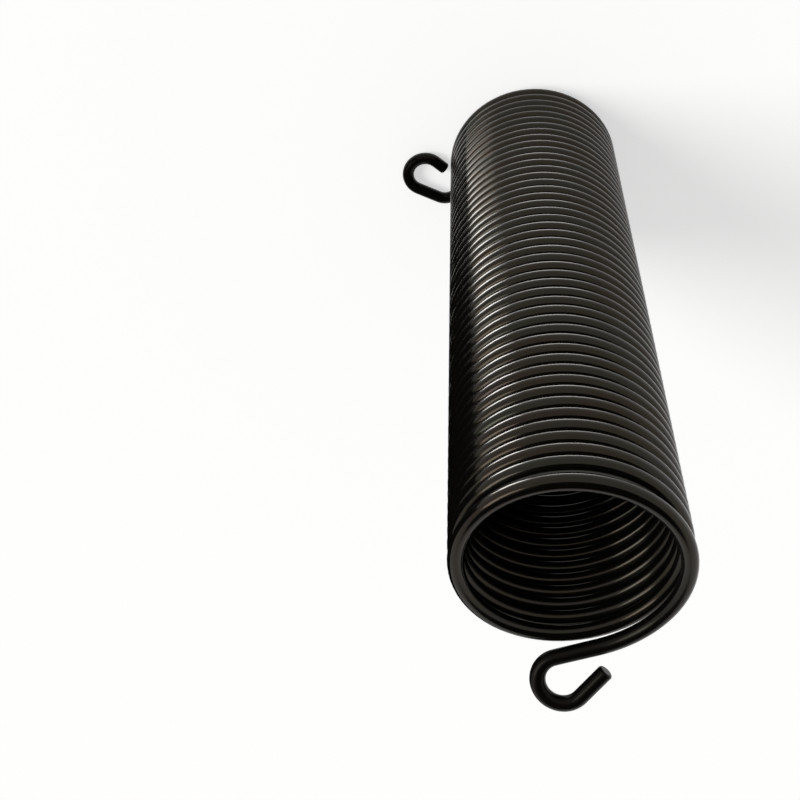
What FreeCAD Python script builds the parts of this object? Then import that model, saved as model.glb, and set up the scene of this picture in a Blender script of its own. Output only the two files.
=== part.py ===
import FreeCAD, Part
import math
import os

import Sketcher

# Counterbalance spring of a roller shutter: one length of round wire, wound left-handed with its turns
# almost touching. The front turn stands off the coil, and a hook is formed at each end of the wire.
# Each turn is two half turns in planes that tip opposite ways. They meet in a level tangent, so the wire
# runs on smoothly and neighbouring turns keep the same spacing all round.
# Lengths are millimetres and angles are degrees. The coil axis is Z and the rear end is down.

NODE = "torsion_spring"

SIZES = (
    # Wire and coil
    ("wire_dia", 5.5),
    ("coil_outer_dia", 78.0),
    ("paired_turns", 45),
    ("turn_gap", 0.12),
    ("front_turn_gap", 3.1),
    ("rear_end_angle", 194.9),
    ("front_run_angle", 40.0),
    # Hooks: the eye suits a bolt of 10 mm, and the cut ends have a broken edge. Each straight is given
    # beyond one thickness of the wire, so that the hook of a thicker wire stands further off the coil.
    ("eye_inner_dia", 10.9),
    ("end_edge_radius", 0.9),
    # Front hook: the wire leaves the coil in a wide bend, then curls back in a plane that leans outwards
    ("front_bend_radius", 41.3),
    ("front_bend_angle", 43.6),
    ("front_straight", 9.3),
    ("front_lean", 31.0),
    ("front_loop_angle", 211.0),
    ("front_free_end", 12.9),
    # Rear hook: the wire turns outwards in a tight bend, then curls round almost level to face the coil
    ("rear_bend_radius", 7.0),
    ("rear_bend_angle", 130.2),
    ("rear_straight", 5.6),
    ("rear_lean", 4.0),
    ("rear_loop_angle", 194.4),
    ("rear_free_end", 6.0),
)

# Values that follow from the sizes, as expressions
WIRE_RADIUS = "sizes.wire_dia / 2"
COIL_RADIUS = "(sizes.coil_outer_dia - sizes.wire_dia) / 2"
LOOP_RADIUS = "(sizes.eye_inner_dia + sizes.wire_dia) / 2"
CLOSE_PITCH = "(sizes.wire_dia + sizes.turn_gap)"
FRONT_PITCH = "(sizes.wire_dia + sizes.front_turn_gap)"

# The rear hook leans below the coil, and its lowest point is at height zero
REAR_HEIGHT = f"({WIRE_RADIUS} + 2 * {LOOP_RADIUS} * sin(sizes.rear_lean))"
PAIRED_HEIGHT = f"({REAR_HEIGHT} + sizes.paired_turns * {CLOSE_PITCH})"
OPEN_HEIGHT = f"({PAIRED_HEIGHT} + {CLOSE_PITCH} / 2)"
FRONT_HEIGHT = f"({OPEN_HEIGHT} + {FRONT_PITCH})"

# Half turns start at the rear end's angle or opposite it, and the front end is a level run further on
REAR_ANGLE = "sizes.rear_end_angle"
OPPOSITE_ANGLE = f"({REAR_ANGLE} - 180)"
FRONT_ANGLE = f"({OPPOSITE_ANGLE} - sizes.front_run_angle)"

VOLUME_TOLERANCE = 0.005
TIP_TOLERANCE = 0.01

doc = FreeCAD.newDocument("roller_shutter_spring")

sheet = doc.addObject("Spreadsheet::Sheet", "sizes")
for row, (alias, size) in enumerate(SIZES, start=1):
    sheet.set(f"A{row}", alias)
    sheet.set(f"B{row}", str(size))
    sheet.setAlias(f"B{row}", alias)
doc.recompute()

body = doc.addObject("PartDesign::Body", NODE)
body.Label = NODE
body.Placement = FreeCAD.Placement()
base_plane = next(plane for plane in body.Origin.OriginFeatures if plane.Role == "XY_Plane")
coil_axis = next(axis for axis in body.Origin.OriginFeatures if axis.Role == "Z_Axis")


def straight_length(end):
    """Writes the length of the straight between a bend and its hook as an expression."""
    return f"(sizes.{end}_straight + sizes.wire_dia)"


def value(expression):
    """Gives the present number of an expression."""
    return float(sheet.evalExpression(expression))


def place(x="0", y="0", z="0", turn="rotationz(0)"):
    """Writes a placement as an expression."""
    return f"placement(vector({x}; {y}; {z}); {turn})"


def new_sketch(name, frame):
    """Makes a sketch on the base plane, moved to a frame that follows the sizes."""
    sketch = body.newObject("Sketcher::SketchObject", name)
    sketch.AttachmentSupport = (base_plane, [""])
    sketch.MapMode = "FlatFace"
    sketch.setExpression("AttachmentOffset", frame)
    return sketch


def bind(sketch, name, constraint, expression):
    """Adds a dimension to a sketch and ties it to an expression."""
    index = sketch.addConstraint(constraint)
    sketch.renameConstraint(index, name)
    sketch.setExpression(f"Constraints.{name}", expression)


def wire_section(name, frame, x="0", y="0"):
    """Draws the round section of the wire, centred on a point of its frame."""
    sketch = new_sketch(name, frame)
    centre = FreeCAD.Vector(value(x), value(y), 0)
    sketch.addGeometry(Part.Circle(centre, FreeCAD.Vector(0, 0, 1), value(WIRE_RADIUS)), False)
    dia = "sizes.wire_dia"
    bind(sketch, "section_dia", Sketcher.Constraint("Diameter", 0, value(dia)), dia)
    if x == y == "0":
        sketch.addConstraint(Sketcher.Constraint("Coincident", 0, 3, -1, 1))
    else:
        bind(sketch, "centre_x", Sketcher.Constraint("DistanceX", -1, 1, 0, 3, value(x)), x)
        bind(sketch, "centre_y", Sketcher.Constraint("DistanceY", -1, 1, 0, 3, value(y)), y)
    return sketch


def coil_section(name, angle, height):
    """Draws the wire's section where a turn of the coil starts or ends."""
    radial_plane = place(turn=f"rotationz({angle}) * rotationx(90)")
    return wire_section(name, radial_plane, COIL_RADIUS, height)


def arc(centre_x, centre_y, radius, start, end):
    """Gives an arc between two angles about a point of a sketch."""
    circle = Part.Circle(FreeCAD.Vector(centre_x, centre_y, 0), FreeCAD.Vector(0, 0, 1), radius)
    return Part.ArcOfCircle(circle, math.radians(start), math.radians(end))


def straight_from(start, heading, length):
    """Gives a straight from a point of a sketch along a heading."""
    along = FreeCAD.Vector(math.cos(math.radians(heading)), math.sin(math.radians(heading)), 0)
    return Part.LineSegment(start, start + along * length)


def lead_path(end, frame, side, arc_angle):
    """Draws the bend off the coil and the straight after it: a bend to the right of the wire's travel."""
    radius = f"sizes.{end}_bend_radius"
    turn = f"sizes.{end}_bend_angle"
    length = straight_length(end)
    sketch = new_sketch(f"{end}_lead_path", frame)
    bend_end = arc_angle - value(turn)
    bend = arc(value(COIL_RADIUS) + side * value(radius), 0, value(radius), bend_end, arc_angle)
    sketch.addGeometry(bend, False)
    sketch.addGeometry(straight_from(bend.StartPoint, bend_end - 90, value(length)), False)
    sketch.addConstraint(Sketcher.Constraint("PointOnObject", 0, 2, -1))
    sketch.addConstraint(Sketcher.Constraint("PointOnObject", 0, 3, -1))
    sketch.addConstraint(Sketcher.Constraint("Tangent", 0, 1, 1, 1))
    bind(sketch, "start_x", Sketcher.Constraint("DistanceX", -1, 1, 0, 2, value(COIL_RADIUS)), COIL_RADIUS)
    bind(sketch, "bend_radius", Sketcher.Constraint("Radius", 0, value(radius)), radius)
    bind(sketch, "bend_turn", Sketcher.Constraint("Angle", 0, math.radians(value(turn))), f"{turn} * 1 deg")
    bind(sketch, "straight", Sketcher.Constraint("Distance", 1, value(length)), length)
    return sketch


def loop_path(end, frame):
    """Draws the curl of a hook and its free end, starting at the frame's origin along its x axis."""
    sweep = f"sizes.{end}_loop_angle"
    length = f"sizes.{end}_free_end"
    sketch = new_sketch(f"{end}_loop_path", frame)
    radius = value(LOOP_RADIUS)
    curl = arc(0, radius, radius, -90, value(sweep) - 90)
    sketch.addGeometry(curl, False)
    sketch.addGeometry(straight_from(curl.EndPoint, value(sweep), value(length)), False)
    sketch.addConstraint(Sketcher.Constraint("Coincident", 0, 1, -1, 1))
    sketch.addConstraint(Sketcher.Constraint("PointOnObject", 0, 3, -2))
    sketch.addConstraint(Sketcher.Constraint("Tangent", 0, 2, 1, 1))
    bind(sketch, "loop_radius", Sketcher.Constraint("Radius", 0, radius), LOOP_RADIUS)
    loop_turn = Sketcher.Constraint("Angle", 0, math.radians(value(sweep)))
    bind(sketch, "loop_turn", loop_turn, f"{sweep} * 1 deg")
    bind(sketch, "free_end", Sketcher.Constraint("Distance", 1, value(length)), length)
    return sketch


def swept_wire(name, section, path):
    """Sweeps the wire's section along every edge of a path."""
    pipe = body.newObject("PartDesign::AdditivePipe", name)
    pipe.Profile = section
    pipe.Spine = (path, [f"Edge{number}" for number in range(1, path.GeometryCount + 1)])
    doc.recompute()
    return pipe


def half_turn(name, pitch, height, angle):
    """Winds the wire half a turn upwards from a height and an angle of the coil."""
    tip = f"atan({pitch} / (4 * {COIL_RADIUS}))"
    radius = f"{COIL_RADIUS} / cos({tip})"
    coil_frame = place(z=f"{height} + {pitch} / 4", turn=f"rotationz({angle}) * rotationy({tip})")
    path = new_sketch(f"{name}_path", coil_frame)
    path.addGeometry(arc(0, 0, value(radius), 180, 360), False)
    path.addConstraint(Sketcher.Constraint("Coincident", 0, 3, -1, 1))
    path.addConstraint(Sketcher.Constraint("PointOnObject", 0, 1, -1))
    path.addConstraint(Sketcher.Constraint("PointOnObject", 0, 2, -1))
    bind(path, "radius", Sketcher.Constraint("Radius", 0, value(radius)), radius)
    return swept_wire(name, coil_section(f"{name}_section", angle, height), path)


def level_run(name, height, angle, sweep):
    """Runs the wire on round the coil at one height, down through an angle."""
    path = new_sketch(f"{name}_path", place(z=height, turn=f"rotationz({angle})"))
    path.addGeometry(arc(0, 0, value(COIL_RADIUS), -value(sweep), 0), False)
    path.addConstraint(Sketcher.Constraint("Coincident", 0, 3, -1, 1))
    path.addConstraint(Sketcher.Constraint("PointOnObject", 0, 2, -1))
    bind(path, "radius", Sketcher.Constraint("Radius", 0, value(COIL_RADIUS)), COIL_RADIUS)
    bind(path, "sweep", Sketcher.Constraint("Angle", 0, math.radians(value(sweep))), f"{sweep} * 1 deg")
    return swept_wire(name, coil_section(f"{name}_section", angle, height), path)


def formed_end(end, height, angle, side, arc_angle, roll):
    """Forms one end of the wire: the lead off the coil, then the hook. Gives the cut end's middle."""
    coil_frame = place(z=height, turn=f"rotationz({angle})")
    bend_radius = f"sizes.{end}_bend_radius"
    bend_centre = place(x=f"{COIL_RADIUS} + {side} * {bend_radius}",
                        turn=f"rotationz({arc_angle} - sizes.{end}_bend_angle)")
    bend_end = place(x=bend_radius, turn="rotationz(-90)")
    straight_end = place(x=straight_length(end), turn=f"rotationx({roll})")
    hook_frame = f"{coil_frame} * {bend_centre} * {bend_end} * {straight_end}"
    across_wire = place(turn="rotationy(90)")

    lead = lead_path(end, coil_frame, side, arc_angle)
    swept_wire(f"{end}_lead", coil_section(f"{end}_lead_section", angle, height), lead)
    hook_section = wire_section(f"{end}_hook_section", f"{hook_frame} * {across_wire}")
    loop = loop_path(end, hook_frame)
    swept_wire(f"{end}_hook", hook_section, loop)
    return loop.Placement.multVec(loop.getPoint(1, 2))


def cut_end_edge(shape, middle):
    """Finds the round edge of a cut end from the middle of its face."""
    for number, edge in enumerate(shape.Edges, start=1):
        if edge.CenterOfMass.distanceToPoint(middle) < TIP_TOLERANCE:
            return f"Edge{number}"
    raise RuntimeError(f"no cut end at {middle}")


# The coil, from the rear end up: pairs of half turns repeated along the axis, then a single one
first_half = half_turn("first_half", CLOSE_PITCH, REAR_HEIGHT, REAR_ANGLE)
second_half = half_turn("second_half", CLOSE_PITCH, f"{REAR_HEIGHT} + {CLOSE_PITCH} / 2", OPPOSITE_ANGLE)
close_coil = body.newObject("PartDesign::LinearPattern", "close_coil")
close_coil.Originals = [first_half, second_half]
close_coil.Direction = (coil_axis, [""])
close_coil.setExpression("Length", f"(sizes.paired_turns - 1) * {CLOSE_PITCH}")
close_coil.setExpression("Occurrences", "sizes.paired_turns")
body.Tip = close_coil
doc.recompute()
half_turn("last_half", CLOSE_PITCH, PAIRED_HEIGHT, REAR_ANGLE)

# The front turn, which stands off the coil
half_turn("front_first_half", FRONT_PITCH, OPEN_HEIGHT, OPPOSITE_ANGLE)
half_turn("front_second_half", FRONT_PITCH, f"{OPEN_HEIGHT} + {FRONT_PITCH} / 2", REAR_ANGLE)
level_run("front_run", FRONT_HEIGHT, OPPOSITE_ANGLE, "sizes.front_run_angle")

# The two formed ends
front_tip = formed_end("front", FRONT_HEIGHT, FRONT_ANGLE, -1, 0, "sizes.front_lean")
rear_tip = formed_end("rear", REAR_HEIGHT, REAR_ANGLE, 1, 180, "180 + sizes.rear_lean")

# The cut ends of the wire with their edges broken
cut_edges = body.newObject("PartDesign::Fillet", "cut_edges")
wound_wire = cut_edges.BaseFeature
cut_edges.Base = (wound_wire, [cut_end_edge(wound_wire.Shape, tip) for tip in (front_tip, rear_tip)])
cut_edges.setExpression("Radius", "sizes.end_edge_radius")
doc.recompute()

failed = [item.Name for item in doc.Objects if {"Invalid", "Error"} & set(item.State)]
if failed:
    raise RuntimeError(f"failed: {failed}")
if body.Shape.isNull() or not body.Shape.isValid() or len(body.Shape.Solids) != 1:
    raise RuntimeError("the spring is not one valid solid")

# One length of wire has the volume of its section times its length
paths = [item for item in doc.Objects if item.Name.endswith("_path")]
repeats = {"first_half_path": close_coil.Occurrences, "second_half_path": close_coil.Occurrences}
wire_length = sum(path.Shape.Length * repeats.get(path.Name, 1) for path in paths)
wire_volume = math.pi * value(WIRE_RADIUS) ** 2 * wire_length
print(f"wire length {wire_length:.0f} mm")
print(f"volume {body.Shape.Volume:.0f} mm3, expected {wire_volume:.0f} mm3")
if abs(body.Shape.Volume / wire_volume - 1) > VOLUME_TOLERANCE:
    raise RuntimeError("the volume is not that of one length of wire")

os.makedirs("parts", exist_ok=True)
body.Shape.exportStep(f"parts/{body.Label}.step")
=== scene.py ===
"""Winds a roller shutter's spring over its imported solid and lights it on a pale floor."""

import math

import bpy
from bpy.props import (
    FloatProperty,
    FloatVectorProperty,
    IntProperty,
    PointerProperty,
    StringProperty,
)
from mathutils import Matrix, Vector


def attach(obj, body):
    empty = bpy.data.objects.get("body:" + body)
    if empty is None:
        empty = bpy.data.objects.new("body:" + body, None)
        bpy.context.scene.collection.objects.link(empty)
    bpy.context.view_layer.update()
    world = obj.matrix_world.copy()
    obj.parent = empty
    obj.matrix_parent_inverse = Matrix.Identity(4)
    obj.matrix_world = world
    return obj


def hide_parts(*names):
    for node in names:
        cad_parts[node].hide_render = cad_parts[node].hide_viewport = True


bl_info = {
    "name": "Roller Shutter Spring",
    "version": (1, 0, 0),
    "blender": (4, 5, 0),
    "location": "3D View > Sidebar > Shutter Spring",
    "description": "Winds a close torsion spring with a hook at each end, on a pale floor",
    "category": "Add Mesh",
}

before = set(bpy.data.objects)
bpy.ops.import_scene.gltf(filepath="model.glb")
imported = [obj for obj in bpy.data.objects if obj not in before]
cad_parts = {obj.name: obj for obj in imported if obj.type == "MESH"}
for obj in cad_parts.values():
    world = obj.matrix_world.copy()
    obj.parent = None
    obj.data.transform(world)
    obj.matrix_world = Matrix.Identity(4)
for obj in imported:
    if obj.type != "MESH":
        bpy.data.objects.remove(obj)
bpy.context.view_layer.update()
SPRING_NODE = "torsion_spring"

# How finely each stretch of a formed end is divided, from the coil to the cut
BEND_STEPS = 28
STRAIGHT_STEPS = 4
LOOP_STEPS = 44
FREE_END_STEPS = 4
TIP_STEPS = 7
END_STEPS = (BEND_STEPS, STRAIGHT_STEPS, LOOP_STEPS, FREE_END_STEPS, TIP_STEPS)

QUARTER_TURN = math.pi / 2
HALF_TURN = math.pi
FULL_TURN = 2 * math.pi

# How far the finish's patterns are drawn out along the wire
LINE_STRETCH = (1.0, 1.0, 0.015)
TEMPER_STRETCH = (0.5, 0.5, 1.0)

# How strongly the draw lines stand up, and their height in metres
LINE_STRENGTH = 0.25
LINE_HEIGHT = 0.00003

# The span of the noise that roughens the film, and how the film bends light
NOISE_LOW = 0.3
NOISE_HIGH = 0.7
FILM_IOR = 1.38

# Where the stage's pieces stand, in metres
FLOOR_REACH = 8.0
FLOOR_LEVEL = -0.0005
SIDE_FLAG_X = -0.07
SIDE_FLAG_Y = (-0.6, 0.029)
SIDE_FLAG_Z = (0.002, 0.272)
OVERHEAD_FLAG_HEIGHT = 4.0
OVERHEAD_FLAG_RADIUS = 3.8
OVERHEAD_FLAG_SIDES = 64

# How the nodes are set out in the editor
NODES_PER_ROW = 16
NODE_WIDTH = 200
NODE_HEIGHT = 240


def size(name, description, millimetres):
    """Declares a length that is given in millimetres."""
    return FloatProperty(name=name, description=description, default=millimetres / 1000,
                         unit="LENGTH", precision=5)


def turn(name, description, degrees):
    """Declares an angle that is given in degrees."""
    return FloatProperty(name=name, description=description, default=math.radians(degrees),
                         subtype="ANGLE")


def colour(name, description, hex_colour):
    """Declares a colour that is given as an sRGB hex value."""
    return StringProperty(name=name, description=description, default=hex_colour)


def power(name, description, watts):
    return FloatProperty(name=name, description=description, default=watts,
                         unit="POWER", precision=4)


def share(name, description, part):
    """Declares a part of a whole, from 0 to 1."""
    return FloatProperty(name=name, description=description, default=part,
                         min=0.0, max=1.0, subtype="FACTOR")


def count(name, description, number):
    """Declares a whole number."""
    return IntProperty(name=name, description=description, default=number)


class SpringSizes(bpy.types.PropertyGroup):
    """Sizes of the wire, the coil and the two hooks."""

    wire_dia: size("Wire Diameter", "Thickness of the drawn wire", 5.5)
    coil_outer_dia: size("Coil Outer Diameter", "Outside of the coil", 78.0)
    close_half_turns: count("Close Half Turns", "Half turns wound close", 91)
    turn_gap: size("Turn Gap", "Clear gap between close turns", 0.12)
    front_turn_gap: size("Front Turn Gap", "Clear gap behind the front turn where it ends", 3.1)
    rear_end_angle: turn("Rear End Angle", "Where the wire leaves the coil's rear end", 194.9)
    front_run_angle: turn("Front Run Angle", "Level run before the wire leaves the coil", 40.0)
    eye_inner_dia: size("Eye Inner Diameter", "Clear inside of both hooks", 10.9)
    end_edge_radius: size("End Edge Radius", "Rounding of the wire's cut ends", 0.9)
    front_bend_radius: size("Front Bend Radius", "Wide bend off the coil's front", 41.3)
    front_bend_angle: turn("Front Bend Angle", "Turn of the wide bend", 43.6)
    front_straight: size("Front Straight", "Straight before the front hook", 14.8)
    front_lean: turn("Front Lean", "Lean of the front hook out of the coil's end", 31.0)
    front_loop_angle: turn("Front Loop Angle", "Curl of the front hook", 211.0)
    front_free_end: size("Front Free End", "Straight after the front hook's curl", 12.9)
    rear_bend_radius: size("Rear Bend Radius", "Tight bend off the coil's rear", 7.0)
    rear_bend_angle: turn("Rear Bend Angle", "Turn of the tight bend", 130.2)
    rear_straight: size("Rear Straight", "Straight before the rear hook", 11.1)
    rear_lean: turn("Rear Lean", "Lean of the rear hook out of the coil's end", 4.0)
    rear_loop_angle: turn("Rear Loop Angle", "Curl of the rear hook", 194.4)
    rear_free_end: size("Rear Free End", "Straight after the rear hook's curl", 6.0)
    turn_steps: count("Steps per Turn", "Divisions along one turn", 76)
    wire_sides: count("Wire Sides", "Divisions round the wire", 24)


class WireFinish(bpy.types.PropertyGroup):
    """Colours, gloss and marks of the wire."""

    oxide: colour("Oxide", "Black oxide of the tempered wire", "#0c0b09")
    # Base colour towards the cut ends, barely apart from the oxide
    scale: colour("Forming Scale", "Scale on the hot-formed ends", "#0d0c0a")
    film: colour("Film", "Tint of the gloss over most of the wire", "#efe6d2")
    brown: colour("Brown Temper", "Warm tint of the gloss in patches", "#f0dabc")
    green: colour("Green Temper", "Cool tint of the gloss in patches", "#e6e8cc")
    plum: colour("Plum Temper", "Reddish tint of the gloss in patches", "#eed2c8")
    # Gloss tint towards the cut ends, which darkens their gloss
    dull: colour("Dull Scale", "Tint of the gloss on the hot-formed ends", "#827d71")
    roughness: share("Roughness", "Roughness of the film where it is smoothest", 0.1)
    unevenness: share("Unevenness", "Roughness that draw lines and oil marks add", 0.1)
    # Roughness added towards the cut ends
    dullness: share("Dullness", "Roughness that the forming scale adds", 0.1)
    draw_line: size("Draw Line Spacing", "Distance between draw lines round the wire", 0.45)
    temper_patch: size("Temper Patch", "Length of a temper colour along the wire", 62.0)
    oil_mark: size("Oil Mark", "Size of the marks that oil and handling leave", 4.2)
    # Distance from the cut end over which the darker, rougher gloss fades out
    darkening_from: size("Scale From", "Where the forming scale starts to fade, from the cut end", 50.0)
    darkening_to: size("Scale To", "Where the forming scale is gone, from the cut end", 110.0)


class StageLook(bpy.types.PropertyGroup):
    """Floor, light and camera."""

    floor: colour("Floor", "Colour of the floor", "#f6f6f4")
    floor_white: share("Floor White", "White that the floor adds to view and gloss", 0.56)
    fill: share("Fill", "Strength of the light from all round", 0.2)
    key_strength: FloatProperty(name="Key Strength", description="Light of the key in W/m2",
                                default=1.3)
    key_angle: turn("Key Angle", "Breadth of the key, as seen from the spring", 32.0)
    panel_power: power("Panel Power", "Power of the panel on the floor at the left", 0.5)
    strip_power: power("Strip Power", "Power of the strip on the floor in front", 0.02)
    focal: FloatProperty(name="Focal Length", description="Lens on a 36 mm sensor", default=54.9,
                         unit="CAMERA")
    camera_place: FloatVectorProperty(
        name="Camera Place", description="Where the camera stands",
        default=(-0.035402, 0.281877, 0.531267), subtype="TRANSLATION")
    camera_turn: FloatVectorProperty(
        name="Camera Turn", description="How the camera is turned",
        default=[math.radians(degrees) for degrees in (-39.0674, 2.1181, -1.7184)], subtype="EULER")


def linear(hex_colour):
    """Turns an sRGB hex colour into linear red, green, blue and alpha."""
    encoded = [int(hex_colour[place:place + 2], 16) / 255 for place in (1, 3, 5)]
    parts = [part / 12.92 if part <= 0.04045 else ((part + 0.055) / 1.055) ** 2.4
             for part in encoded]
    return (*parts, 1.0)


def add_node(tree, kind, inputs=(), **options):
    """Adds a node and fills or links its inputs; a kind in capitals is a math node's operation."""
    node = tree.nodes.new("ShaderNodeMath" if kind.isupper() else kind)
    row, column = divmod(len(tree.nodes), NODES_PER_ROW)
    node.location = (NODE_WIDTH * column, -NODE_HEIGHT * row)
    if kind.isupper():
        node.operation = kind
    for option, choice in options.items():
        setattr(node, option, choice)
    for key, sources in inputs.items() if isinstance(inputs, dict) else enumerate(inputs):
        for source in sources if isinstance(sources, list) else [sources]:
            if isinstance(source, bpy.types.Node):
                source = source.outputs[0]
            if isinstance(source, bpy.types.NodeSocket):
                tree.links.new(source, node.inputs[key])
            else:
                node.inputs[key].default_value = source
    return node


def bare_tree(owner):
    """Gives the emptied node tree of a material or a world."""
    owner.use_nodes = True
    owner.node_tree.nodes.clear()
    return owner.node_tree


def wire_points(tree, number, position, order):
    """Lays points by a rule of their index and numbers them along the wire."""
    points = add_node(tree, "GeometryNodePoints", {"Count": number})
    placed = add_node(tree, "GeometryNodeSetPosition", {"Geometry": points, "Position": position})
    return add_node(tree, "GeometryNodeStoreNamedAttribute",
                    {"Geometry": placed, "Name": "order", "Value": order}, data_type="FLOAT")


def half_turn_rise(tree, angle):
    """Counts half turns wound so far: each starts and ends level, so the next runs on smoothly."""
    whole = add_node(tree, "FLOOR", (add_node(tree, "DIVIDE", (angle, HALF_TURN)),))
    rest = add_node(tree, "MULTIPLY_ADD", (whole, -HALF_TURN, angle))
    middle = add_node(tree, "ADD", (whole, 0.5))
    return add_node(tree, "MULTIPLY_ADD", (add_node(tree, "COSINE", (rest,)), -0.5, middle))


def coil_points(tree, sizes, made):
    """Lays the coil's points from the rear end up, close turns first and then the front turn."""
    index = add_node(tree, "GeometryNodeInputIndex")
    close_angle = add_node(tree, "MULTIPLY", (sizes["close_half_turns"], HALF_TURN))
    open_angle = add_node(tree, "ADD", (close_angle, FULL_TURN))
    whole_angle = add_node(tree, "ADD", (open_angle, sizes["front_run_angle"]))
    turns = add_node(tree, "DIVIDE", (whole_angle, FULL_TURN))
    steps = add_node(tree, "CEIL", (add_node(tree, "MULTIPLY", (turns, sizes["turn_steps"])),))
    wound = add_node(tree, "MULTIPLY", (whole_angle, add_node(tree, "DIVIDE", (index, steps))))

    # The close turns rise by the close pitch, the front turn by its own, and the last run is level
    close_wound = add_node(tree, "MINIMUM", (wound, close_angle))
    past_close = add_node(tree, "MAXIMUM", (add_node(tree, "SUBTRACT", (wound, close_angle)), 0.0))
    open_wound = add_node(tree, "MINIMUM", (past_close, FULL_TURN))
    close_rise = half_turn_rise(tree, close_wound)
    close_top = add_node(tree, "MULTIPLY_ADD",
                         (close_rise, made["half_pitch"], made["rear_height"]))
    open_rise = half_turn_rise(tree, open_wound)
    height = add_node(tree, "MULTIPLY_ADD", (open_rise, made["front_half_pitch"], close_top))

    angle = add_node(tree, "SUBTRACT", (sizes["rear_end_angle"], wound))
    x = add_node(tree, "MULTIPLY", (made["coil_radius"], add_node(tree, "COSINE", (angle,))))
    y = add_node(tree, "MULTIPLY", (made["coil_radius"], add_node(tree, "SINE", (angle,))))
    made["front_angle"] = add_node(tree, "SUBTRACT", (sizes["rear_end_angle"], whole_angle))
    made["coil_count"] = add_node(tree, "ADD", (steps, 1.0))
    position = add_node(tree, "ShaderNodeCombineXYZ", (x, y, height))
    return wire_points(tree, made["coil_count"], position, index)


def arc_place(tree, radius, angle):
    """Gives the place on an arc that starts at the origin along x and curls towards y."""
    along = add_node(tree, "MULTIPLY", (radius, add_node(tree, "SINE", (angle,))))
    aside = add_node(tree, "SUBTRACT", (1.0, add_node(tree, "COSINE", (angle,))))
    across = add_node(tree, "MULTIPLY", (radius, aside))
    return add_node(tree, "ShaderNodeCombineXYZ", (along, across))


def formed_end(tree, sizes, made, end, height, angle, side, bend_start, roll, first, step):
    """Lays one end's points: the bend off the coil, the straight, the curl and the cut end."""
    index = add_node(tree, "GeometryNodeInputIndex")
    orders = []
    shares = []
    for stretch, steps in enumerate(END_STEPS):
        start = add_node(tree, "ADD", (first, step * sum(END_STEPS[:stretch])))
        orders.append(add_node(tree, "MULTIPLY_ADD", (index, step, start)))
        shares.append(add_node(tree, "DIVIDE", (add_node(tree, "ADD", (index, 1.0)), steps)))
    bend_order, straight_order, loop_order, free_order, tip_order = orders
    bend_share, straight_share, loop_share, free_share, tip_share = shares
    bend_radius = sizes[f"{end}_bend_radius"]
    bend_angle = sizes[f"{end}_bend_angle"]
    straight = sizes[f"{end}_straight"]
    curl = sizes[f"{end}_loop_angle"]
    edge = sizes["end_edge_radius"]

    # The free end and its rounded cut, along x
    plain = add_node(tree, "SUBTRACT", (sizes[f"{end}_free_end"], edge))
    along = add_node(tree, "MULTIPLY", (plain, free_share))
    place = add_node(tree, "ShaderNodeCombineXYZ", (along,))
    free = wire_points(tree, FREE_END_STEPS, place, free_order)
    round_off = add_node(tree, "SINE", (add_node(tree, "MULTIPLY", (tip_share, QUARTER_TURN)),))
    along = add_node(tree, "MULTIPLY_ADD", (edge, round_off, plain))
    place = add_node(tree, "ShaderNodeCombineXYZ", (along,))
    tip = wire_points(tree, TIP_STEPS, place, tip_order)
    points = add_node(tree, "GeometryNodeJoinGeometry", {"Geometry": [free, tip]})
    place = arc_place(tree, made["loop_radius"], curl)
    turned = add_node(tree, "ShaderNodeCombineXYZ", {"Z": curl})
    points = add_node(tree, "GeometryNodeTransform",
                      {"Geometry": points, "Translation": place, "Rotation": turned})

    # The curl, which leans about the straight
    swept = add_node(tree, "MULTIPLY", (curl, loop_share))
    place = arc_place(tree, made["loop_radius"], swept)
    loop = wire_points(tree, LOOP_STEPS, place, loop_order)
    points = add_node(tree, "GeometryNodeJoinGeometry", {"Geometry": [points, loop]})
    place = add_node(tree, "ShaderNodeCombineXYZ", (straight,))
    turned = add_node(tree, "ShaderNodeCombineXYZ", (roll,))
    points = add_node(tree, "GeometryNodeTransform",
                      {"Geometry": points, "Translation": place, "Rotation": turned})

    # The straight and the bend that leads to it
    along = add_node(tree, "MULTIPLY", (straight, straight_share))
    place = add_node(tree, "ShaderNodeCombineXYZ", (along,))
    run = wire_points(tree, STRAIGHT_STEPS, place, straight_order)
    points = add_node(tree, "GeometryNodeJoinGeometry", {"Geometry": [points, run]})
    place = add_node(tree, "ShaderNodeCombineXYZ", (bend_radius,))
    points = add_node(tree, "GeometryNodeTransform",
                      {"Geometry": points, "Translation": place,
                       "Rotation": (0.0, 0.0, -QUARTER_TURN)})
    ahead = add_node(tree, "SUBTRACT", (1.0, bend_share))
    left = add_node(tree, "MULTIPLY", (bend_angle, ahead))
    x = add_node(tree, "MULTIPLY", (bend_radius, add_node(tree, "COSINE", (left,))))
    y = add_node(tree, "MULTIPLY", (bend_radius, add_node(tree, "SINE", (left,))))
    place = add_node(tree, "ShaderNodeCombineXYZ", (x, y))
    bend = wire_points(tree, BEND_STEPS, place, bend_order)
    points = add_node(tree, "GeometryNodeJoinGeometry", {"Geometry": [points, bend]})

    # Onto the coil's end
    centre = add_node(tree, "MULTIPLY_ADD", (bend_radius, side, made["coil_radius"]))
    bend_turn = add_node(tree, "SUBTRACT", (bend_start, bend_angle))
    place = add_node(tree, "ShaderNodeCombineXYZ", (centre,))
    turned = add_node(tree, "ShaderNodeCombineXYZ", {"Z": bend_turn})
    points = add_node(tree, "GeometryNodeTransform",
                      {"Geometry": points, "Translation": place, "Rotation": turned})
    place = add_node(tree, "ShaderNodeCombineXYZ", {"Z": height})
    turned = add_node(tree, "ShaderNodeCombineXYZ", {"Z": angle})
    return add_node(tree, "GeometryNodeTransform",
                    {"Geometry": points, "Translation": place, "Rotation": turned})


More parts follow.
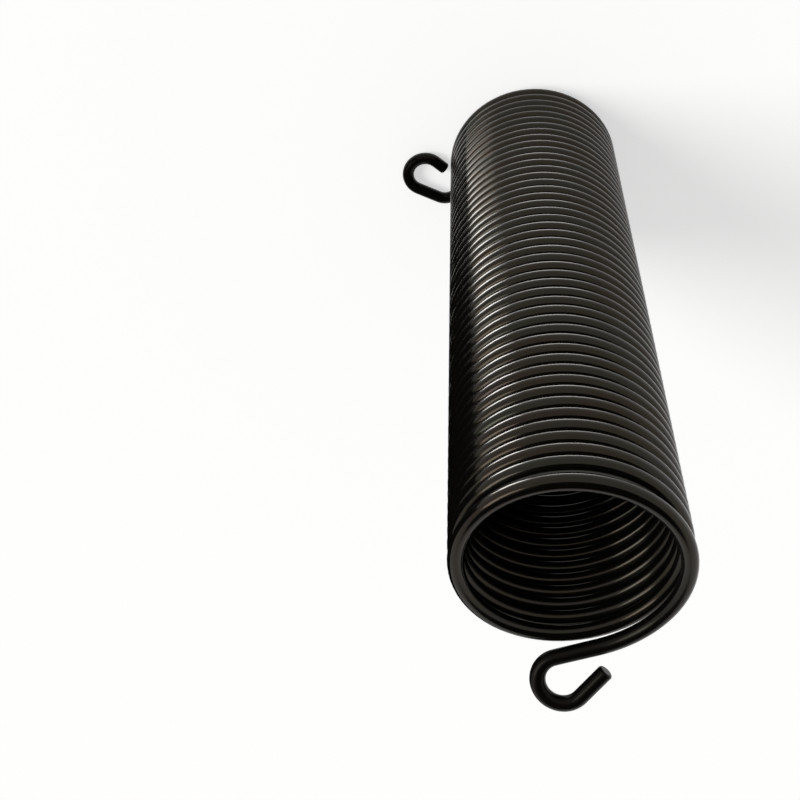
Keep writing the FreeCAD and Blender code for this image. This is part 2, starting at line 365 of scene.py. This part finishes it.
def swept_wire(tree, sizes, made, path):
    """Sweeps the round section along the path and keeps each point's place in the straight wire."""
    edge = sizes["end_edge_radius"]
    radius = made["wire_radius"]
    run = add_node(tree, "GeometryNodeSplineParameter").outputs["Length"]
    length = add_node(tree, "GeometryNodeSplineLength").outputs["Length"]
    from_end = add_node(tree, "MINIMUM", (run, add_node(tree, "SUBTRACT", (length, run))))
    for name, value in (("from_end", from_end), ("run", run)):
        path = add_node(tree, "GeometryNodeStoreNamedAttribute",
                        {"Geometry": path, "Name": name, "Value": value}, data_type="FLOAT")
    section = add_node(tree, "GeometryNodeCurvePrimitiveCircle",
                       {"Resolution": sizes["wire_sides"], "Radius": radius})
    round_share = add_node(tree, "GeometryNodeSplineParameter").outputs["Factor"]
    turned = add_node(tree, "MULTIPLY", (round_share, FULL_TURN))
    section = add_node(tree, "GeometryNodeStoreNamedAttribute",
                       {"Geometry": section, "Name": "turned", "Value": turned}, data_type="FLOAT")

    # Near a cut end the section shrinks along a quarter circle
    inside = add_node(tree, "MAXIMUM", (add_node(tree, "SUBTRACT", (edge, from_end)), 0.0))
    inside_square = add_node(tree, "MULTIPLY", (inside, inside))
    edge_square = add_node(tree, "MULTIPLY", (edge, edge))
    kept_square = add_node(tree, "SUBTRACT", (edge_square, inside_square))
    kept = add_node(tree, "SQRT", (add_node(tree, "MAXIMUM", (kept_square, 0.0)),))
    drawn_in = add_node(tree, "DIVIDE", (add_node(tree, "SUBTRACT", (edge, kept)), radius))
    mesh = add_node(tree, "GeometryNodeCurveToMesh",
                    {"Curve": path, "Profile Curve": section, "Fill Caps": True,
                     "Scale": add_node(tree, "SUBTRACT", (1.0, drawn_in))})

    # The place in the straight wire is what the finish follows
    stored = {name: add_node(tree, "GeometryNodeInputNamedAttribute", {"Name": name},
                             data_type="FLOAT")
              for name in ("turned", "run", "from_end")}
    across = add_node(tree, "MULTIPLY", (radius, add_node(tree, "COSINE", (stored["turned"],))))
    upright = add_node(tree, "MULTIPLY", (radius, add_node(tree, "SINE", (stored["turned"],))))
    place = add_node(tree, "ShaderNodeCombineXYZ", (across, upright, stored["run"]))
    mesh = add_node(tree, "GeometryNodeStoreNamedAttribute",
                    {"Geometry": mesh, "Name": "straight_wire", "Value": place},
                    data_type="FLOAT_VECTOR")
    mesh = add_node(tree, "GeometryNodeStoreNamedAttribute",
                    {"Geometry": mesh, "Name": "from_cut_end", "Value": stored["from_end"]},
                    data_type="FLOAT")
    for name in ("order", *stored):
        mesh = add_node(tree, "GeometryNodeRemoveAttribute", {"Geometry": mesh, "Name": name})
    return mesh


def spring_tree():
    """Builds the tree that winds the spring from its sizes."""
    tree = bpy.data.node_groups.new("wound_spring", "GeometryNodeTree")
    labels = {key: SpringSizes.bl_rna.properties[key].name for key in SpringSizes.__annotations__}
    for key, label in labels.items():
        whole_number = SpringSizes.bl_rna.properties[key].type == "INT"
        kind = "NodeSocketInt" if whole_number else "NodeSocketFloat"
        tree.interface.new_socket(label, in_out="INPUT", socket_type=kind)
    tree.interface.new_socket("Material", in_out="INPUT", socket_type="NodeSocketMaterial")
    tree.interface.new_socket("Spring", in_out="OUTPUT", socket_type="NodeSocketGeometry")
    entry = add_node(tree, "NodeGroupInput")
    sizes = {key: entry.outputs[label] for key, label in labels.items()}

    wire = sizes["wire_dia"]
    across_coil = add_node(tree, "SUBTRACT", (sizes["coil_outer_dia"], wire))
    across_eye = add_node(tree, "ADD", (sizes["eye_inner_dia"], wire))
    pitch = add_node(tree, "ADD", (wire, sizes["turn_gap"]))
    front_pitch = add_node(tree, "ADD", (wire, sizes["front_turn_gap"]))
    halves = {"wire_radius": wire, "coil_radius": across_coil, "loop_radius": across_eye,
              "half_pitch": pitch, "front_half_pitch": front_pitch}
    made = {name: add_node(tree, "MULTIPLY", (whole, 0.5)) for name, whole in halves.items()}

    # The leaning rear hook reaches below the coil, and its lowest point rests on the floor
    dip = add_node(tree, "MULTIPLY", (across_eye, add_node(tree, "SINE", (sizes["rear_lean"],))))
    made["rear_height"] = add_node(tree, "ADD", (made["wire_radius"], dip))
    close_top = add_node(tree, "MULTIPLY_ADD",
                         (sizes["close_half_turns"], made["half_pitch"], made["rear_height"]))
    front_height = add_node(tree, "ADD", (close_top, front_pitch))

    coil = coil_points(tree, sizes, made)
    front = formed_end(tree, sizes, made, "front", height=front_height, angle=made["front_angle"],
                       side=-1.0, bend_start=0.0, roll=sizes["front_lean"],
                       first=made["coil_count"], step=1)
    rear_roll = add_node(tree, "ADD", (sizes["rear_lean"], HALF_TURN))
    rear = formed_end(tree, sizes, made, "rear", height=made["rear_height"],
                      angle=sizes["rear_end_angle"], side=1.0, bend_start=HALF_TURN,
                      roll=rear_roll, first=-1.0, step=-1)
    points = add_node(tree, "GeometryNodeJoinGeometry", {"Geometry": [coil, front, rear]})
    order = add_node(tree, "GeometryNodeInputNamedAttribute", {"Name": "order"}, data_type="FLOAT")
    path = add_node(tree, "GeometryNodePointsToCurves", {"Points": points, "Weight": order})
    mesh = swept_wire(tree, sizes, made, path)
    mesh = add_node(tree, "GeometryNodeSetShadeSmooth", {"Geometry": mesh})
    mesh = add_node(tree, "GeometryNodeRealizeInstances", {"Geometry": mesh})
    finished = add_node(tree, "GeometryNodeSetMaterial",
                        {"Geometry": mesh, "Material": entry.outputs["Material"]})
    add_node(tree, "NodeGroupOutput", {"Spring": finished})
    return tree


def plain_mesh_of(name, tree, values):
    """Runs a tree with its inputs set by identifier and gives an object with a plain mesh."""
    maker = bpy.data.objects.new(f"{name}_maker", bpy.data.meshes.new(f"{name}_maker"))
    bpy.context.scene.collection.objects.link(maker)
    modifier = maker.modifiers.new("wound", "NODES")
    modifier.node_group = tree
    for item in tree.interface.items_tree:
        if item.in_out == "INPUT":
            modifier[item.identifier] = values[item.name]
    graph = bpy.context.evaluated_depsgraph_get()
    mesh = bpy.data.meshes.new_from_object(maker.evaluated_get(graph))
    mesh.name = name
    maker.modifiers.remove(modifier)
    bpy.data.objects.remove(maker)
    piece = bpy.data.objects.new(name, mesh)
    bpy.context.scene.collection.objects.link(piece)
    return piece


def set_stops(ramp, stops):
    """Gives a colour ramp its stops, each a place and a linear colour."""
    elements = ramp.color_ramp.elements
    while len(elements) < len(stops):
        elements.new(0.5)
    for element, (place, tint) in zip(elements, stops):
        element.position = place
        element.color = tint


def oil_tempered_wire(finish):
    """Drawn spring wire, oil tempered, its gloss darker and rougher towards the cut ends."""
    material = bpy.data.materials.new("spring_steel_oil_tempered")
    tree = bare_tree(material)
    wire = add_node(tree, "ShaderNodeAttribute", attribute_name="straight_wire").outputs["Vector"]
    reach = add_node(tree, "ShaderNodeAttribute", attribute_name="from_cut_end").outputs["Fac"]

    # Draw lines break up the gloss; real ones are too fine to show, so these are coarser
    stretched = add_node(tree, "ShaderNodeVectorMath", (wire, LINE_STRETCH), operation="MULTIPLY")
    lines = add_node(tree, "ShaderNodeTexNoise",
                     {"Vector": stretched, "Scale": 1 / finish.draw_line, "Detail": 4.0})
    relief = add_node(tree, "ShaderNodeBump",
                      {"Height": lines, "Strength": LINE_STRENGTH, "Distance": LINE_HEIGHT})

    # Temper colours drift along the wire, so that one turn's gloss differs a little from the next
    drift = add_node(tree, "ShaderNodeVectorMath", (wire, TEMPER_STRETCH), operation="MULTIPLY")
    patches = add_node(tree, "ShaderNodeTexNoise",
                       {"Vector": drift, "Scale": 1 / finish.temper_patch, "Detail": 3.0})
    temper = add_node(tree, "ShaderNodeValToRGB", {"Fac": patches})
    set_stops(temper, ((0.30, linear(finish.green)), (0.45, linear(finish.film)),
                       (0.56, linear(finish.brown)), (0.70, linear(finish.plum))))

    # Oil and handling leave the satin uneven
    marks = add_node(tree, "ShaderNodeTexNoise",
                     {"Vector": wire, "Scale": 1 / finish.oil_mark, "Detail": 5.0})
    uneven = add_node(tree, "MULTIPLY", (add_node(tree, "ADD", (lines, marks)), 0.5))
    satin = add_node(tree, "ShaderNodeMapRange",
                     {"Value": uneven, "From Min": NOISE_LOW, "From Max": NOISE_HIGH,
                      "To Min": finish.roughness, "To Max": finish.roughness + finish.unevenness})

    # Towards the cut ends the gloss is tinted darker and made rougher, and the base colour shifts
    # slightly
    near_cut_end = add_node(tree, "ShaderNodeMapRange",
                      {"Value": reach, "From Min": finish.darkening_from, "From Max": finish.darkening_to,
                       "To Min": 1.0, "To Max": 0.0})
    rough = add_node(tree, "MULTIPLY_ADD", (near_cut_end, finish.dullness, satin))
    black = add_node(tree, "ShaderNodeMixRGB", (near_cut_end, linear(finish.oxide), linear(finish.scale)))
    tint = add_node(tree, "ShaderNodeMixRGB",
                    (near_cut_end, temper.outputs["Color"], linear(finish.dull)))

    # A clear film over black oxide: dark where it faces the eye, glinting where it turns away
    skin = add_node(tree, "ShaderNodeBsdfPrincipled",
                    {"Base Color": black, "Specular Tint": tint, "Roughness": rough,
                     "Normal": relief, "IOR": FILM_IOR})
    add_node(tree, "ShaderNodeOutputMaterial", {"Surface": skin})
    return material


class SPRING_OT_wind(bpy.types.Operator):
    """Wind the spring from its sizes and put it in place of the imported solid"""

    bl_idname = "shutter_spring.wind"
    bl_label = "Wind Spring"

    def execute(self, context):
        settings = context.scene.shutter_spring_sizes
        values = {}
        for key in SpringSizes.__annotations__:
            values[SpringSizes.bl_rna.properties[key].name] = getattr(settings, key)
        values["Material"] = oil_tempered_wire(context.scene.shutter_spring_finish)
        spring = plain_mesh_of("wound_spring", spring_tree(), values)
        if not spring.data.polygons:
            raise RuntimeError("the spring has no faces")
        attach(spring, "root")
        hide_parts(SPRING_NODE)
        return {"FINISHED"}


def shown_rays(tree):
    """Gives 1 for the rays that show the white surround: view, gloss and transmission."""
    rays = add_node(tree, "ShaderNodeLightPath").outputs
    seen = add_node(tree, "MAXIMUM", (rays["Is Camera Ray"], rays["Is Glossy Ray"]))
    return add_node(tree, "MAXIMUM", (seen, rays["Is Transmission Ray"]))


def matt_white_floor(look):
    """Matt white paint: reads white in the view and in gloss, and still takes a shadow."""
    material = bpy.data.materials.new("floor_matt_white_paint")
    tree = bare_tree(material)
    paint = add_node(tree, "ShaderNodeBsdfDiffuse", {"Color": linear(look.floor)})
    strength = add_node(tree, "MULTIPLY", (shown_rays(tree), look.floor_white))
    white = add_node(tree, "ShaderNodeEmission", {"Strength": strength})
    both = add_node(tree, "ShaderNodeAddShader", (paint, white))
    add_node(tree, "ShaderNodeOutputMaterial", {"Surface": both})
    return material


def black_felt():
    """Black felt: returns no light, so gloss that meets it stays dark."""
    material = bpy.data.materials.new("flag_black_felt")
    tree = bare_tree(material)
    felt = add_node(tree, "ShaderNodeBsdfDiffuse", {"Color": linear("#000000")})
    add_node(tree, "ShaderNodeOutputMaterial", {"Surface": felt})
    return material


def white_world(look):
    """White in the view and in gloss, and an even fill from all round."""
    world = bpy.data.worlds.new("studio_white")
    tree = bare_tree(world)
    white = linear("#ffffff")
    fill = add_node(tree, "ShaderNodeBackground", {"Color": white, "Strength": look.fill})
    shown = add_node(tree, "ShaderNodeBackground", {"Color": white, "Strength": 1.0})
    both = add_node(tree, "ShaderNodeMixShader", (shown_rays(tree), fill, shown))
    add_node(tree, "ShaderNodeOutputWorld", {"Surface": both})
    return world


def flat_card(name, corners, material):
    """Adds a flat piece of the stage."""
    mesh = bpy.data.meshes.new(name)
    mesh.from_pydata(corners, [], [range(len(corners))])
    mesh.materials.append(material)
    card = bpy.data.objects.new(name, mesh)
    bpy.context.scene.collection.objects.link(card)
    return card


def dark_flag(name, corners, felt):
    """Adds a black card that only gloss shows."""
    flag = flat_card(name, corners, felt)
    flag.visible_camera = False
    flag.visible_shadow = False
    flag.visible_diffuse = False


def studio_lamp(name, kind, place, aim, strength, **options):
    """Adds a lamp that faces a point and stays out of the view."""
    light = bpy.data.lights.new(name, kind)
    light.energy = strength
    for option, choice in options.items():
        setattr(light, option, choice)
    lamp = bpy.data.objects.new(name, light)
    lamp.location = place
    lamp.rotation_euler = (Vector(aim) - Vector(place)).to_track_quat("-Z", "Y").to_euler()
    lamp.visible_camera = False
    bpy.context.scene.collection.objects.link(lamp)


class SPRING_OT_stage(bpy.types.Operator):
    """Set the floor, the soft light, the background and the camera"""

    bl_idname = "shutter_spring.stage"
    bl_label = "Set Stage"

    def execute(self, context):
        scene = context.scene
        look = scene.shutter_spring_stage
        scene.view_settings.view_transform = "Standard"
        scene.world = white_world(look)
        corners = [(x * FLOOR_REACH, y * FLOOR_REACH, FLOOR_LEVEL)
                   for x, y in ((-1, -1), (1, -1), (1, 1), (-1, 1))]
        flat_card("floor", corners, matt_white_floor(look))

        # A flag beside the coil keeps the gloss of its left flank near black
        felt = black_felt()
        back, front = SIDE_FLAG_Y
        low, top = SIDE_FLAG_Z
        corners = [(SIDE_FLAG_X, y, z)
                   for y, z in ((back, low), (front, low), (front, top), (back, top))]
        dark_flag("side_flag", corners, felt)
        # A round flag overhead darkens the top of each turn, which parts it from the next
        angles = [FULL_TURN * side / OVERHEAD_FLAG_SIDES for side in range(OVERHEAD_FLAG_SIDES)]
        corners = [(OVERHEAD_FLAG_RADIUS * math.cos(angle), OVERHEAD_FLAG_RADIUS * math.sin(angle),
                    OVERHEAD_FLAG_HEIGHT) for angle in angles]
        dark_flag("overhead_flag", corners, felt)

        # The key is far and broad: it models the coil, and the floor stays even under a soft shadow
        studio_lamp("key_soft_light", "SUN", place=(-0.9, 0.3, 0.95), aim=(0.0, 0.0, 0.13),
                    strength=look.key_strength, angle=look.key_angle)
        # The panel on the floor draws the bright streak down the coil's left
        studio_lamp("left_floor_panel", "AREA", place=(-0.15, 0.05, 0.01), aim=(-0.15, 0.05, 1.0),
                    strength=look.panel_power, shape="RECTANGLE", size=0.12, size_y=0.1)
        # The strip on the floor draws the thin line along the lower edge of each turn
        studio_lamp("front_floor_strip", "AREA", place=(0.0, 0.07, 0.01), aim=(0.0, 0.07, 1.0),
                    strength=look.strip_power, shape="RECTANGLE", size=0.3, size_y=0.05,
                    spread=math.radians(50))

        lens = bpy.data.cameras.new("view_camera")
        lens.sensor_width = 36.0
        lens.lens = look.focal
        lens.clip_start = 0.01
        camera = bpy.data.objects.new("view_camera", lens)
        camera.location = look.camera_place
        camera.rotation_euler = look.camera_turn
        scene.collection.objects.link(camera)
        scene.camera = camera
        return {"FINISHED"}


class SPRING_PT_panel(bpy.types.Panel):
    """Lists the spring's settings and steps"""

    bl_idname = "SPRING_PT_panel"
    bl_label = "Shutter Spring"
    bl_space_type = "VIEW_3D"
    bl_region_type = "UI"
    bl_category = "Shutter Spring"

    def draw(self, context):
        scene = context.scene
        groups = (scene.shutter_spring_sizes, scene.shutter_spring_finish,
                  scene.shutter_spring_stage)
        for settings in groups:
            box = self.layout.box()
            for key in type(settings).__annotations__:
                box.prop(settings, key)
        for operator in (SPRING_OT_wind, SPRING_OT_stage):
            self.layout.operator(operator.bl_idname)


CLASSES = (SpringSizes, WireFinish, StageLook, SPRING_OT_wind, SPRING_OT_stage, SPRING_PT_panel)


def register():
    """Registers the classes and hangs their settings on the scene."""
    for item in CLASSES:
        bpy.utils.register_class(item)
    bpy.types.Scene.shutter_spring_sizes = PointerProperty(type=SpringSizes)
    bpy.types.Scene.shutter_spring_finish = PointerProperty(type=WireFinish)
    bpy.types.Scene.shutter_spring_stage = PointerProperty(type=StageLook)


def unregister():
    """Removes the settings and the classes."""
    del bpy.types.Scene.shutter_spring_stage
    del bpy.types.Scene.shutter_spring_finish
    del bpy.types.Scene.shutter_spring_sizes
    for item in reversed(CLASSES):
        bpy.utils.unregister_class(item)


def main():
    """Registers the add-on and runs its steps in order."""
    register()
    bpy.ops.shutter_spring.wind()
    bpy.ops.shutter_spring.stage()


if __name__ == "__main__":
    main()
